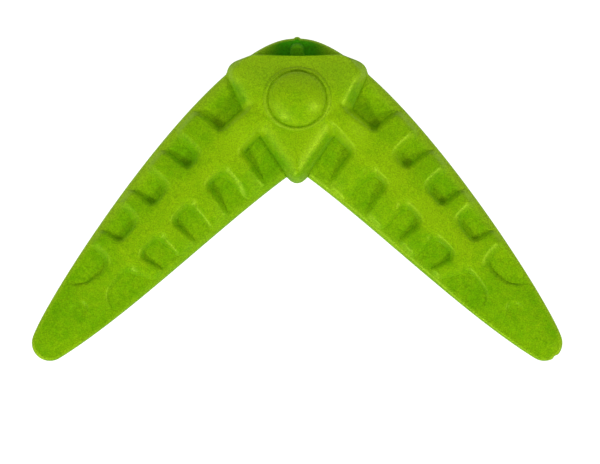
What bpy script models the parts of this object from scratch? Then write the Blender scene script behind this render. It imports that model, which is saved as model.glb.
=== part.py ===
"""A throwing boomerang for dogs, moulded in green rubber.

The V-shaped wing plate lies on its flat underside.  On top of it stand a fish-bone
spine along each arm, a faceted shield over the apex, a round button in the middle of
the shield and a small boss behind it.

Frame: the origin is on the toy's middle line, just behind the button's middle, on the plane
the toy rests on.  +X is the span, +Y points to the apex of the V, +Z is up.  Lengths are in
metres, angles in degrees.
The arms are described in an arm frame: `along` runs from the button to the tip and
`across` runs square to it, positive towards the outer (leading) edge.
"""
import math

import bmesh
import bpy
from mathutils import Matrix, Vector

MM = 0.001

# --- driving dimensions --------------------------------------------------------------
SPAN = 260.0 * MM                  # tip to tip
ARM_ANGLE = -46.56                 # heading of the right arm, from +X
GAP = 0.3 * MM                     # clearance between neighbouring pieces

# wing plate
PLATE_TOP = 8.0 * MM
PLATE_EDGE_RADIUS = 2.4 * MM
APEX_RADIUS = 32.66 * MM
APEX_Y = 28.87 * MM
APEX_SWEEP = 11.08                 # half angle of the apex arc
OUTER_HANDLES = (41.2 * MM, 21.1 * MM)
OUTER_END_HEADING = -71.3          # heading of the outer edge where the tip starts
TIP_RADIUS = 8.74 * MM
TIP_Y = -120.34 * MM
TIP_SWEEP = (18.7, -121.7)         # from the outer edge round to the inner edge
INNER_HANDLES = (43.1 * MM, 41.7 * MM)
INNER_CORNER_Y = -35.2 * MM
INNER_CORNER_HEADING = 35.0        # slope of the inner edge as it reaches the middle

# corners of the shield, each with the reach over which it is rounded
SHIELD_BACK_MIDDLE = (0.0, 20.8 * MM)
SHIELD_BACK = (21.3 * MM, 21.4 * MM)
SHIELD_EAR = (34.4 * MM, 16.3 * MM)
SHIELD_EAR_FOOT = (34.4 * MM, 9.8 * MM)
SHIELD_WAIST = (27.2 * MM, -6.5 * MM)
SHIELD_NOSE = (0.0, -46.4 * MM)
EAR_REACH = 5.4 * MM
NOSE_REACH = 10.9 * MM

# lug of the plate that carries the shield's ear: where its curve leaves and meets the plate
LUG_START = (29.2 * MM, 18.1 * MM)
LUG_END = (34.5 * MM, 10.8 * MM)

# shield: heights, then the slopes of its roof as (place where it starts to fall, fall)
SHIELD_BASE = PLATE_TOP + GAP
SHIELD_FOOT = 2.0 * MM             # upright part of the flanks
SHIELD_CROWN = 18.0 * MM           # height of the roof round the button
SHIELD_FLANK = 2.6 * MM            # width of the flanks in plan
ROOF_BACK = (5.0 * MM, 0.20)
ROOF_SIDE = (17.0 * MM, 0.13)
ROOF_NOSE = ((3.0 * MM, -15.0 * MM), (0.10, 0.07))
BEVEL_SIDE = 15.7 * MM             # where the bevels would start, on the outline
BEVEL_NOSE = 14.6 * MM
BEVEL_SLOPE = 0.46

# button in the middle of the shield: a little shorter than it is wide
BUTTON_RADIUS = 14.0 * MM
BUTTON_OVAL = 0.94
BUTTON_Y = -0.9 * MM
BUTTON_TOP = 23.4 * MM
BUTTON_SEAT = 11.0 * MM            # floor of the blind seat in the shield
BUTTON_WALL_TOP = 17.6 * MM        # where the button's wall turns into its dome

# boss behind the shield
BOSS_HALF_WIDTH = 3.9 * MM
BOSS_FRONT_Y = 21.3 * MM
BOSS_BACK_Y = 26.7 * MM
BOSS_TOP = 12.0 * MM

# spine: one entry for each cross-rib, from the hub to the tip:
# (near root, far root, near end, far end) along the arm, then the reach across it
OUTER_RIBS = (
    (37.0, 54.2, 39.3, 53.0, 30.2),
    (61.2, 76.0, 64.6, 75.6, 29.0),
    (86.8, 98.0, 89.8, 96.8, 27.0),
    (110.3, 122.6, 113.4, 121.4, 23.6),
)
INNER_RIBS = (
    (37.0, 52.0, 39.6, 52.6, -14.6),
    (60.6, 74.8, 62.8, 75.0, -13.2),
    (85.6, 96.8, 84.9, 95.0, -11.2),
    (108.6, 119.4, 106.2, 113.6, -9.6),
)
SPINE_OUTER_SIDE = 14.9            # spine's sides across the arm, between the ribs
SPINE_INNER_SIDE = 2.0
SPINE_HUB_END = ((17.0, 14.8), (19.0, 0.8))   # inside the hub, before the shield trims it
PAD_OUTER = ((129.0, 11.6), (136.5, 12.6), (142.0, 15.8), (150.0, 17.2), (160.0, 15.0), (170.0, 11.8))
PAD_TIP = (176.8, 5.4)
PAD_INNER = ((170.0, -0.8), (160.0, -3.2), (150.0, -5.2), (140.0, -5.4), (134.6, -1.2), (129.0, 2.2))
SPINE_BASE = PLATE_TOP + GAP
SPINE_TOP_NEAR = 14.6 * MM         # ridge height at the hub
SPINE_TOP_FAR = 9.9 * MM           # ridge height at the tip
SPINE_RIDGE = 8.0 * MM             # where the ridge runs, across the arm
SPINE_LENGTH = 180.0 * MM
SPINE_FLANK = 2.2 * MM             # width of the sloping sides in plan
CROWN_RADIUS = 62.0 * MM           # arch of the ribs from one end to the other

# oval dish in the pad at the tip
DISH_CENTRE = (163.0 * MM, 5.6 * MM)
DISH_SIZE = (13.5 * MM, 4.6 * MM, 1.6 * MM)
DISH_DEPTH = 1.1 * MM

# --- colours: the toy is one green, a little deeper in the recesses --------------------
GREEN = (0.240, 0.470, 0.012)
DEEP_GREEN = (0.160, 0.390, 0.010)


# --- scene helpers -------------------------------------------------------------------
def clear_scene():
    for item in list(bpy.data.objects):
        bpy.data.objects.remove(item, do_unlink=True)


def new_collection(name):
    collection = bpy.data.collections.new(name)
    bpy.context.scene.collection.children.link(collection)
    return collection


def rubber(name, colour, roughness):
    material = bpy.data.materials.new(name)
    material.use_nodes = True
    shader = material.node_tree.nodes["Principled BSDF"]
    shader.inputs["Base Color"].default_value = (*colour, 1.0)
    shader.inputs["Roughness"].default_value = roughness
    shader.inputs["Metallic"].default_value = 0.0
    return material


def mesh_object(name, mesh, collection):
    item = bpy.data.objects.new(name, mesh)
    collection.objects.link(item)
    return item


def settle(item):
    """Replace an object's mesh by what its modifiers make of it."""
    graph = bpy.context.evaluated_depsgraph_get()
    mesh = bpy.data.meshes.new_from_object(item.evaluated_get(graph))
    item.modifiers.clear()
    item.data = mesh


# --- plane geometry ------------------------------------------------------------------
def heading(degrees):
    angle = math.radians(degrees)
    return Vector((math.cos(angle), math.sin(angle)))


def arc(centre, radius, start, end, steps):
    """Points on an arc, both ends included."""
    middle = Vector(centre)
    return [middle + radius * heading(start + (end - start) * i / steps) for i in range(steps + 1)]


def bezier(p0, p1, p2, p3, first, last, steps):
    """Points on a cubic Bezier curve between two of its parameters."""
    points = []
    for i in range(steps + 1):
        t = first + (last - first) * i / steps
        u = 1.0 - t
        points.append(u ** 3 * p0 + 3 * u * u * t * p1 + 3 * u * t * t * p2 + t ** 3 * p3)
    return points


def corner_curve(start, corner, end, first, last, steps):
    """Points on the quadratic curve that rounds a corner off."""
    start, corner, end = Vector(start), Vector(corner), Vector(end)
    points = []
    for i in range(steps + 1):
        t = first + (last - first) * i / steps
        points.append((1 - t) ** 2 * start + 2 * t * (1 - t) * corner + t * t * end)
    return points


def toward(corner, other, reach):
    """The point at the given reach from a corner, on the way to another one."""
    return Vector(corner) + reach * (Vector(other) - Vector(corner)).normalized()


def mirrored(half):
    """Close a right half outline, from +Y round to -Y, with its mirror image."""
    left = [Vector((-p.x, p.y)) for p in reversed(half) if abs(p.x) > 1e-6]
    return half + left


def smooth_loop(knots, steps):
    """A closed Catmull-Rom curve through the knots."""
    points = []
    count = len(knots)
    for i in range(count):
        before, start, end, after = (knots[(i + k - 1) % count] for k in range(4))
        leave = start + (end - before) / 6
        arrive = end - (after - start) / 6
        points += bezier(start, leave, arrive, end, 0.0, 1.0, steps)[:-1]
    return points


def arm_point(along, across):
    """A point of the right arm, from millimetres in the arm frame."""
    return along * MM * heading(ARM_ANGLE) + across * MM * heading(ARM_ANGLE + 90.0)


# --- bodies --------------------------------------------------------------------------
def flat_body(name, outline, bottom, top, collection):
    """A slab from a flat outline: a filled and extruded 2D curve, welded into a mesh."""
    curve = bpy.data.curves.new(name, "CURVE")
    curve.dimensions = "2D"
    curve.fill_mode = "BOTH"
    curve.extrude = (top - bottom) / 2
    spline = curve.splines.new("POLY")
    spline.points.add(len(outline) - 1)
    for knot, point in zip(spline.points, outline):
        knot.co = (point.x, point.y, 0.0, 1.0)
    spline.use_cyclic_u = True
    drawn = bpy.data.objects.new(name + "_outline", curve)
    drawn.location.z = (top + bottom) / 2
    collection.objects.link(drawn)
    bpy.context.view_layer.update()
    graph = bpy.context.evaluated_depsgraph_get()
    mesh = bpy.data.meshes.new_from_object(drawn.evaluated_get(graph))
    mesh.transform(drawn.matrix_world)
    bpy.data.objects.remove(drawn)
    bpy.data.curves.remove(curve)
    shape = bmesh.new()
    shape.from_mesh(mesh)
    bmesh.ops.remove_doubles(shape, verts=shape.verts, dist=1e-6)
    bmesh.ops.recalc_face_normals(shape, faces=shape.faces)
    for up in (1.0, -1.0):
        cap = [face for face in shape.faces if face.normal.z * up > 0.9]
        bmesh.ops.dissolve_faces(shape, faces=cap)
    shape.to_mesh(mesh)
    shape.free()
    return mesh_object(name, mesh, collection)


def frustum(name, outline, base, levels, collection):
    """A slab whose upper face is drawn in and lifted, once for each (inset, height)."""
    shape = bmesh.new()
    floor = shape.faces.new([shape.verts.new((p.x, p.y, base)) for p in outline])
    bmesh.ops.recalc_face_normals(shape, faces=[floor])
    raised = bmesh.ops.extrude_face_region(shape, geom=[floor])
    roof = next(part for part in raised["geom"] if isinstance(part, bmesh.types.BMFace))
    for inset, height in levels:
        if inset:
            bmesh.ops.inset_region(shape, faces=[roof], thickness=inset, use_even_offset=True)
        for vertex in roof.verts:
            vertex.co.z = height
    bmesh.ops.recalc_face_normals(shape, faces=shape.faces)
    mesh = bpy.data.meshes.new(name)
    shape.to_mesh(mesh)
    shape.free()
    return mesh_object(name, mesh, collection)


def boolean(item, cutter, operation):
    modifier = item.modifiers.new(operation.lower(), "BOOLEAN")
    modifier.operation = operation
    modifier.solver = "EXACT"
    modifier.object = cutter


def round_edges(item, width, segments, angle):
    modifier = item.modifiers.new("rounded edges", "BEVEL")
    modifier.width = width
    modifier.segments = segments
    modifier.limit_method = "ANGLE"
    modifier.use_clamp_overlap = False
    modifier.angle_limit = math.radians(angle)


def as_cutter(item, cutters):
    for collection in list(item.users_collection):
        collection.objects.unlink(item)
    cutters.objects.link(item)
    item.hide_render = True
    item.display_type = "WIRE"
    return item


# --- wing plate ----------------------------------------------------------------------
def outer_edge(first, last, steps):
    start = Vector((0.0, APEX_Y - APEX_RADIUS)) + APEX_RADIUS * heading(90.0 - APEX_SWEEP)
    end = Vector((SPAN / 2 - TIP_RADIUS, TIP_Y)) + TIP_RADIUS * heading(TIP_SWEEP[0])
    leave = start + OUTER_HANDLES[0] * heading(-APEX_SWEEP)
    arrive = end - OUTER_HANDLES[1] * heading(OUTER_END_HEADING)
    return bezier(start, leave, arrive, end, first, last, steps)


def inner_edge(first, last, steps):
    start = Vector((SPAN / 2 - TIP_RADIUS, TIP_Y)) + TIP_RADIUS * heading(TIP_SWEEP[1])
    end = Vector((0.0, INNER_CORNER_Y))
    leave = start + INNER_HANDLES[0] * heading(TIP_SWEEP[1] + 270.0)
    arrive = end + INNER_HANDLES[1] * heading(-INNER_CORNER_HEADING)
    return bezier(start, leave, arrive, end, first, last, steps)


def plate_outline():
    apex = arc((0.0, APEX_Y - APEX_RADIUS), APEX_RADIUS, 90.0, 90.0 - APEX_SWEEP, 3)
    shoulder = outer_edge(0.0, 0.128, 4)[1:]
    ear = corner_curve(LUG_START, SHIELD_EAR, LUG_END, 0.0, 0.86, 8)
    arm = outer_edge(0.206, 1.0, 23)
    tip = arc((SPAN / 2 - TIP_RADIUS, TIP_Y), TIP_RADIUS, TIP_SWEEP[0], TIP_SWEEP[1], 12)[1:]
    back = inner_edge(0.0, 0.955, 22)[1:]
    return mirrored(apex + shoulder + ear + arm + tip + back + nose_curve(0.146))


def nose_curve(first):
    """Right half of the rounded nose, down to the middle."""
    right = toward(SHIELD_NOSE, SHIELD_WAIST, NOSE_REACH)
    left = Vector((-right.x, right.y))
    return corner_curve(right, SHIELD_NOSE, left, first, 0.5, 6)


def wing_plate(collection):
    plate = flat_body("wing_plate", plate_outline(), 0.0, PLATE_TOP, collection)
    round_edges(plate, PLATE_EDGE_RADIUS, 3, 50.0)
    return plate


# --- spines --------------------------------------------------------------------------
def rib_knots(ribs, side):
    """Knots of the outline past a row of ribs: root, end, end, root for each."""
    knots = []
    for near_root, far_root, near_end, far_end, reach in ribs:
        knots.append((near_root, side))
        knots.append((near_end, reach))
        knots.append((far_end, reach))
        knots.append((far_root, side))
    return knots


def spine_outline():
    outer = rib_knots(OUTER_RIBS, SPINE_OUTER_SIDE)
    inner = rib_knots(INNER_RIBS, SPINE_INNER_SIDE)
    knots = [SPINE_HUB_END[0], *outer, *PAD_OUTER, PAD_TIP, *PAD_INNER, *reversed(inner), SPINE_HUB_END[1]]
    return smooth_loop([arm_point(along, across) for along, across in knots], 3)


def spine_crown(cutters):
    """A long cylinder lying along the arm: its upper side is the top of ridge and ribs."""
    fall = math.atan((SPINE_TOP_NEAR - SPINE_TOP_FAR) / SPINE_LENGTH)
    bpy.ops.mesh.primitive_cylinder_add(vertices=72, radius=CROWN_RADIUS, depth=1.3 * SPINE_LENGTH)
    crown = bpy.context.object
    crown.name = "spine_crown"
    middle = arm_point(SPINE_LENGTH / MM / 2, SPINE_RIDGE / MM)
    height = (SPINE_TOP_NEAR + SPINE_TOP_FAR) / 2 - CROWN_RADIUS
    lie_down = Matrix.Rotation(math.radians(90.0) + fall, 4, "Y")
    turn = Matrix.Rotation(math.radians(ARM_ANGLE), 4, "Z")
    crown.matrix_world = Matrix.Translation((middle.x, middle.y, height)) @ turn @ lie_down
    return as_cutter(crown, cutters)


def shield_trim(cutters):
    """A block whose face runs along the shield's side, one gap away from it."""
    start, end = Vector(SHIELD_WAIST), Vector(SHIELD_NOSE)
    side = (start - end).normalized()
    outward = Vector((side.y, -side.x))
    depth = 30.0 * MM
    middle = (start + end) / 2 + outward * (GAP - depth / 2)
    bpy.ops.mesh.primitive_cube_add(size=1.0)
    block = bpy.context.object
    block.name = "shield_trim"
    size = Matrix.Diagonal((depth, 2 * (start - end).length, 4 * SPINE_TOP_NEAR, 1.0))
    turn = Matrix.Rotation(math.atan2(outward.y, outward.x), 4, "Z")
    block.data.transform(Matrix.Translation((middle.x, middle.y, 0.0)) @ turn @ size)
    return as_cutter(block, cutters)


def tip_dish(cutters):
    """A flat ellipsoid that presses the oval dish into the tip pad."""
    bpy.ops.mesh.primitive_uv_sphere_add(segments=24, ring_count=12, radius=1.0)
    dish = bpy.context.object
    dish.name = "tip_dish"
    place = arm_point(DISH_CENTRE[0] / MM, DISH_CENTRE[1] / MM)
    along = DISH_CENTRE[0] / SPINE_LENGTH
    surface = SPINE_TOP_NEAR + (SPINE_TOP_FAR - SPINE_TOP_NEAR) * along
    height = surface - DISH_DEPTH + DISH_SIZE[2]
    turn = Matrix.Rotation(math.radians(ARM_ANGLE), 4, "Z")
    size = Matrix.Diagonal((*DISH_SIZE, 1.0))
    dish.data.transform(Matrix.Translation((place.x, place.y, height)) @ turn @ size)
    return as_cutter(dish, cutters)


def right_spine(collection, cutters):
    levels = ((0.0, SPINE_BASE + 0.4 * MM), (SPINE_FLANK, SPINE_TOP_NEAR + GAP))
    spine = frustum("right_spine", spine_outline(), SPINE_BASE, levels, collection)
    boolean(spine, spine_crown(cutters), "INTERSECT")
    boolean(spine, shield_trim(cutters), "DIFFERENCE")
    boolean(spine, tip_dish(cutters), "DIFFERENCE")
    return spine


def left_spine(right, collection):
    """The left arm's spine is the mirror image of the right one's."""
    settle(right)
    mesh = right.data.copy()
    mesh.transform(Matrix.Scale(-1.0, 4, (1.0, 0.0, 0.0)))
    mesh.flip_normals()
    return mesh_object("left_spine", mesh, collection)


# --- shield --------------------------------------------------------------------------
def shield_outline():
    back = [Vector(SHIELD_BACK_MIDDLE), Vector(SHIELD_BACK)]
    ear = corner_curve(
        toward(SHIELD_EAR, SHIELD_BACK, EAR_REACH), SHIELD_EAR,
        toward(SHIELD_EAR, SHIELD_EAR_FOOT, EAR_REACH), 0.0, 1.0, 8)
    side = [Vector(SHIELD_EAR_FOOT), Vector(SHIELD_WAIST)]
    return mirrored(back + ear + side + nose_curve(0.0))


def sloped_plane(x, y, height, slope_x, slope_y):
    """A point and the upward normal of the plane with the given slopes there."""
    return Vector((x, y, height)), Vector((-slope_x, -slope_y, 1.0)).normalized()


def bevel_plane(start, end, height):
    """The plane that climbs inwards from an edge of the shield's outline."""
    edge = (Vector(end) - Vector(start)).normalized()
    inward = Vector((edge.y, -edge.x))
    return sloped_plane(*start, height, BEVEL_SLOPE * inward.x, BEVEL_SLOPE * inward.y)


def roof_planes():
    """Facets of the right half of the roof."""
    (nose_x, nose_y), (fall_x, fall_y) = ROOF_NOSE
    return [
        sloped_plane(0.0, 0.0, SHIELD_CROWN, 0.0, 0.0),
        sloped_plane(0.0, ROOF_BACK[0], SHIELD_CROWN, 0.0, -ROOF_BACK[1]),
        sloped_plane(ROOF_SIDE[0], 0.0, SHIELD_CROWN, -ROOF_SIDE[1], 0.0),
        sloped_plane(nose_x, nose_y, SHIELD_CROWN, -fall_x, fall_y),
        bevel_plane(SHIELD_EAR_FOOT, SHIELD_WAIST, BEVEL_SIDE),
        bevel_plane(SHIELD_WAIST, SHIELD_NOSE, BEVEL_NOSE),
    ]


def shield_roof(cutters):
    """A block that the roof's facets are cut from, one plane after the other."""
    shape = bmesh.new()
    bmesh.ops.create_cube(shape, size=120.0 * MM)
    for point, normal in roof_planes():
        for side in (1.0, -1.0):
            flip = Vector((side, 1.0, 1.0))
            everything = shape.verts[:] + shape.edges[:] + shape.faces[:]
            cut = bmesh.ops.bisect_plane(
                shape, geom=everything, dist=1e-7, plane_co=point * flip, plane_no=normal * flip,
                clear_outer=True)
            rim = [part for part in cut["geom_cut"] if isinstance(part, bmesh.types.BMEdge)]
            bmesh.ops.holes_fill(shape, edges=[edge for edge in rim if edge.is_boundary])
    bmesh.ops.recalc_face_normals(shape, faces=shape.faces)
    mesh = bpy.data.meshes.new("shield_roof")
    shape.to_mesh(mesh)
    shape.free()
    return as_cutter(mesh_object("shield_roof", mesh, cutters), cutters)


def button_shape():
    """Squeezes something turned about the origin into the button's oval, at its place."""
    return Matrix.Translation((0.0, BUTTON_Y, 0.0)) @ Matrix.Diagonal((1.0, BUTTON_OVAL, 1.0, 1.0))


def hub_shield(collection, cutters):
    levels = ((0.0, SHIELD_BASE + SHIELD_FOOT), (SHIELD_FLANK, SHIELD_CROWN + GAP))
    shield = frustum("hub_shield", shield_outline(), SHIELD_BASE, levels, collection)
    bpy.ops.mesh.primitive_cylinder_add(vertices=64, radius=BUTTON_RADIUS + GAP, depth=20.0 * MM)
    seat = bpy.context.object
    seat.name = "button_seat"
    seat.data.transform(button_shape() @ Matrix.Translation((0.0, 0.0, BUTTON_SEAT + 10.0 * MM)))
    boolean(shield, shield_roof(cutters), "INTERSECT")
    boolean(shield, as_cutter(seat, cutters), "DIFFERENCE")
    return shield


# --- button and boss -----------------------------------------------------------------
def hub_button(collection):
    """A turned plug: straight wall in the seat, spherical cap above it."""
    rise = BUTTON_TOP - BUTTON_WALL_TOP
    cap_radius = (BUTTON_RADIUS ** 2 + rise ** 2) / (2 * rise)
    sweep = math.degrees(math.asin(BUTTON_RADIUS / cap_radius))
    cap = arc((0.0, BUTTON_TOP - cap_radius), cap_radius, 90.0, 90.0 - sweep, 8)
    floor = BUTTON_SEAT + GAP
    profile = cap + [Vector((BUTTON_RADIUS, floor)), Vector((0.0, floor))]
    mesh = bpy.data.meshes.new("hub_dome")
    edges = [(i, i + 1) for i in range(len(profile) - 1)]
    mesh.from_pydata([(p.x, 0.0, p.y) for p in profile], edges, [])
    button = mesh_object("hub_dome", mesh, collection)
    turn = button.modifiers.new("turned", "SCREW")
    turn.steps = 56
    turn.render_steps = 56
    turn.use_merge_vertices = True
    turn.merge_threshold = 1e-5
    settle(button)
    button.data.transform(button_shape())
    return button


def apex_boss(collection):
    """A small round-backed boss on the plate, just behind the shield."""
    centre = (0.0, BOSS_BACK_Y - BOSS_HALF_WIDTH)
    back = arc(centre, BOSS_HALF_WIDTH, 90.0, 0.0, 6)
    outline = mirrored(back + [Vector((BOSS_HALF_WIDTH, BOSS_FRONT_Y))])
    boss = flat_body("apex_boss", outline, PLATE_TOP + GAP, BOSS_TOP, collection)
    round_edges(boss, 1.0 * MM, 2, 50.0)
    return boss


def main():
    clear_scene()
    parts = new_collection("boomerang")
    cutters = new_collection("cutters")
    right = right_spine(parts, cutters)
    pieces = {
        wing_plate(parts): rubber("plate rubber", GREEN, 0.62),
        right: rubber("right spine rubber", GREEN, 0.60),
        left_spine(right, parts): rubber("left spine rubber", GREEN, 0.60),
        hub_shield(parts, cutters): rubber("shield rubber", GREEN, 0.60),
        hub_button(parts): rubber("button rubber", GREEN, 0.58),
        apex_boss(parts): rubber("boss rubber", DEEP_GREEN, 0.66),
    }
    toy = bpy.data.objects.new("boomerang", None)
    parts.objects.link(toy)
    for piece, material in pieces.items():
        piece.data.materials.clear()
        piece.data.materials.append(material)
        piece.data.shade_smooth()
        piece.data.set_sharp_from_angle(angle=math.radians(35.0))
        piece.parent = toy


main()
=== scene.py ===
"""Looks of a moulded rubber boomerang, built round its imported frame.

Every visible piece is a closed relief: a flat outline, rings that follow it inwards and an
even grid in the middle, all lifted by a surface that is a formula of the place, then closed
by a wall and a flat floor.  Lengths of the object are in millimetres and become metres when
a mesh is made; the studio's are in metres.

The arms are described in an arm frame: `along` runs from the button to the tip, `across`
runs square to it, positive towards the outer edge.

A pair of numbers given to turn() says where a smooth change starts and where it ends.
"""
import math

import bpy
import numpy as np
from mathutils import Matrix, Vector
from mathutils.geometry import delaunay_2d_cdt


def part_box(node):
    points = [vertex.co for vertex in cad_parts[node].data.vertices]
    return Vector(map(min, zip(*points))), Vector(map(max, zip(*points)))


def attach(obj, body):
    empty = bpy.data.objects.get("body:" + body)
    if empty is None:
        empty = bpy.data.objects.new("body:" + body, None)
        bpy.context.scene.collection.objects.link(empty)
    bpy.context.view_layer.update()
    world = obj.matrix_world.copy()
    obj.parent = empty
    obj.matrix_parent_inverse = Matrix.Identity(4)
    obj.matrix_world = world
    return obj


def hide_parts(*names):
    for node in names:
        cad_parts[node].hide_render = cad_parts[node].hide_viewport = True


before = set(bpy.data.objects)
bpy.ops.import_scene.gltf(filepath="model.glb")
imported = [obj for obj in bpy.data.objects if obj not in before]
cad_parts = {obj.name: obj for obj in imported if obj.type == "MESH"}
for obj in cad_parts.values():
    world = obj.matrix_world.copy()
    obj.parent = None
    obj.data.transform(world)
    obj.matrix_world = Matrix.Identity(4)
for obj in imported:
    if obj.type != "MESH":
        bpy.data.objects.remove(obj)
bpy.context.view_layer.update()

MM = 0.001


def box_mm(node):
    low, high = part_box(node)
    return np.array(low) / MM, np.array(high) / MM


# --- sizes taken from the frame --------------------------------------------------------
PLATE_LOW, PLATE_HIGH = box_mm("wing_plate")
DOME_LOW, DOME_HIGH = box_mm("hub_dome")
BOSS_HIGH = box_mm("apex_boss")[1]

HALF_SPAN = PLATE_HIGH[0]
PLATE_TOP = PLATE_HIGH[2]
APEX_Y = PLATE_HIGH[1]
DOME_RADIUS = DOME_HIGH[0]
BOSS_RADIUS = BOSS_HIGH[0]

ARM_ANGLE = -46.56


# --- small formulas --------------------------------------------------------------------
def smooth_step(value):
    x = np.clip(value, 0.0, 1.0)
    return x * x * (3.0 - 2.0 * x)


def turn(value, start, end):
    """0 before start and 1 beyond end, smooth in between; start may be the larger one."""
    return smooth_step((value - start) / (end - start))


def blend(first, second, share):
    return first + (second - first) * share


def smooth_max(a, b, width):
    mix = np.clip(0.5 + 0.5 * (a - b) / width, 0.0, 1.0)
    return b + (a - b) * mix + width * mix * (1.0 - mix)


def smooth_min(a, b, width):
    return -smooth_max(-a, -b, width)


def pillow(depth, width):
    """0 at an outline, rising steeply and levelling out at the given depth: 1."""
    return 1.0 - (1.0 - np.clip(depth / width, 0.0, 1.0)) ** 2


# --- plane geometry --------------------------------------------------------------------
SAME_POINT = 1e-6


def heading(degrees):
    angle = np.radians(degrees)
    return np.stack([np.cos(angle), np.sin(angle)], axis=-1)


def unit(vector):
    return vector / np.linalg.norm(vector)


def arc(centre, radius, start, end, steps=40):
    return np.array(centre) + radius * heading(np.linspace(start, end, steps + 1))


def bezier(p0, p1, p2, p3, first=0.0, last=1.0, steps=120):
    t = np.linspace(first, last, steps + 1)[:, None]
    u = 1.0 - t
    return u ** 3 * p0 + 3 * u * u * t * p1 + 3 * u * t * t * p2 + t ** 3 * p3


def corner_curve(start, corner, end, first=0.0, last=1.0, steps=16):
    """A quadratic curve that rounds a corner off."""
    t = np.linspace(first, last, steps + 1)[:, None]
    start, corner, end = np.array(start), np.array(corner), np.array(end)
    return (1 - t) ** 2 * start + 2 * t * (1 - t) * corner + t * t * end


def rounded(corners):
    """A closed outline through corners (x, y, reach), each rounded over its reach."""
    places = np.array([corner[:2] for corner in corners], float)
    points = []
    for i, here in enumerate(places):
        before, after, reach = places[i - 1], places[(i + 1) % len(places)], corners[i][2]
        if reach == 0:
            points.append(here[None])
            continue
        start = here + unit(before - here) * reach
        end = here + unit(after - here) * reach
        points.append(corner_curve(start, here, end))
    return np.concatenate(points)


def mirrored(half):
    """Close a right half outline, from +Y round to -Y, with its mirror image."""
    left = half[::-1] * (-1, 1)
    return np.concatenate([half, left[np.abs(left[:, 0]) > SAME_POINT]])


def resampled(loop, step):
    """The same closed outline with evenly spaced points, running anticlockwise."""
    closed = np.concatenate([loop, loop[:1]])
    length = np.concatenate([[0.0], np.cumsum(np.linalg.norm(np.diff(closed, axis=0), axis=1))])
    keep = np.concatenate([[True], np.diff(length) > SAME_POINT])
    count = int(round(length[-1] / step))
    at = np.linspace(0.0, length[-1], count, endpoint=False)
    even = np.stack([np.interp(at, length[keep], closed[keep, axis]) for axis in (0, 1)], axis=-1)
    following = np.roll(even, -1, axis=0)
    area = np.sum(even[:, 0] * following[:, 1] - following[:, 0] * even[:, 1])
    return even if area > 0 else even[::-1]


def inset(loop, distance):
    """An anticlockwise outline moved inwards along its normals."""
    along = np.roll(loop, -1, axis=0) - np.roll(loop, 1, axis=0)
    along /= np.linalg.norm(along, axis=1)[:, None]
    inward = np.stack([-along[:, 1], along[:, 0]], axis=-1)
    return loop + distance * inward


def depth_inside(points, loop):
    """Distance to a closed outline, positive inside it."""
    nearest = np.full(len(points), np.inf)
    inside = np.zeros(len(points), bool)
    x, y = points[:, 0], points[:, 1]
    for (ax, ay), (bx, by) in zip(loop, np.roll(loop, -1, axis=0)):
        dx, dy = bx - ax, by - ay
        share = np.clip(((x - ax) * dx + (y - ay) * dy) / (dx * dx + dy * dy), 0.0, 1.0)
        nearest = np.minimum(nearest, (x - ax - share * dx) ** 2 + (y - ay - share * dy) ** 2)
        if ay != by:
            crosses = ((ay > y) != (by > y)) & (x < ax + (y - ay) * dx / dy)
            inside ^= crosses
    return np.where(inside, 1.0, -1.0) * np.sqrt(nearest)


def folded(points):
    """Plane points laid over onto the right half."""
    return np.column_stack([np.abs(points[:, 0]), points[:, 1]])


def to_arm(points):
    """Plane points as (along, across) of the arm on their side."""
    place = folded(points)
    return np.stack([place @ heading(ARM_ANGLE), place @ heading(ARM_ANGLE + 90.0)], axis=-1)


def from_arm(points):
    """Points (along, across) of the right arm as plane points."""
    return points[:, :1] * heading(ARM_ANGLE) + points[:, 1:] * heading(ARM_ANGLE + 90.0)


# --- outlines --------------------------------------------------------------------------
OUTLINE_STEP = 0.55

# wing plate: arcs at the apex and the tips, long curves along the arms
APEX_RADIUS = 32.66
APEX_SWEEP = 11.08
OUTER_HANDLES = (41.2, 21.1)
TIP_RADIUS = 8.74
TIP_RISE = 8.8                     # tip arc's centre above the plate's lowest y
TIP_SWEEP = (18.7, -121.7)
INNER_HANDLES = (43.1, 41.7)
INNER_CORNER_Y = -35.2
INNER_CORNER_SLOPE = 35.0

# ears and nose, where the shield's outline leaves the plate's: corners and their reach
EAR_START = (29.2, 18.1)
EAR_CORNER = (34.4, 16.3)
EAR_END = (34.5, 10.8)
EAR_REACH = 5.4
WAIST = (27.2, -6.5)
NOSE_CORNER = (0.0, -46.4)
NOSE_REACH = 10.9

# shares of the curves that are drawn where an ear or the nose interrupts them
OUTER_CURVE_TO_EAR, OUTER_CURVE_FROM_EAR = 0.128, 0.206
EAR_CURVE_END = 0.86
INNER_CURVE_TO_NOSE = 0.955
NOSE_CURVE_START = 0.075

# traces of trimming: a nib of flash at the apex and a nick at the right tip
NIB_HALF_WIDTH = 1.3
NIB_LENGTH = 0.8
NICK_PLACE = np.array((126.6, -127.0))
NICK_REACH = 1.5
NICK_DEPTH = 0.7

# right half of the shield's outline, from the middle of its back to the nose: (x, y, reach)
SHIELD_CORNERS = (
    (0.0, 20.8, 5.0), (21.3, 21.4, 2.0), (*EAR_CORNER, EAR_REACH), (34.4, 9.8, 2.5),
    (*WAIST, 5.0), (*NOSE_CORNER, NOSE_REACH),
)
SHIELD_INSET = 0.08                # the shield's wall stands inside the plate's at ears and nose
SHIELD_DRAWING_STEP = 0.3

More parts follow.
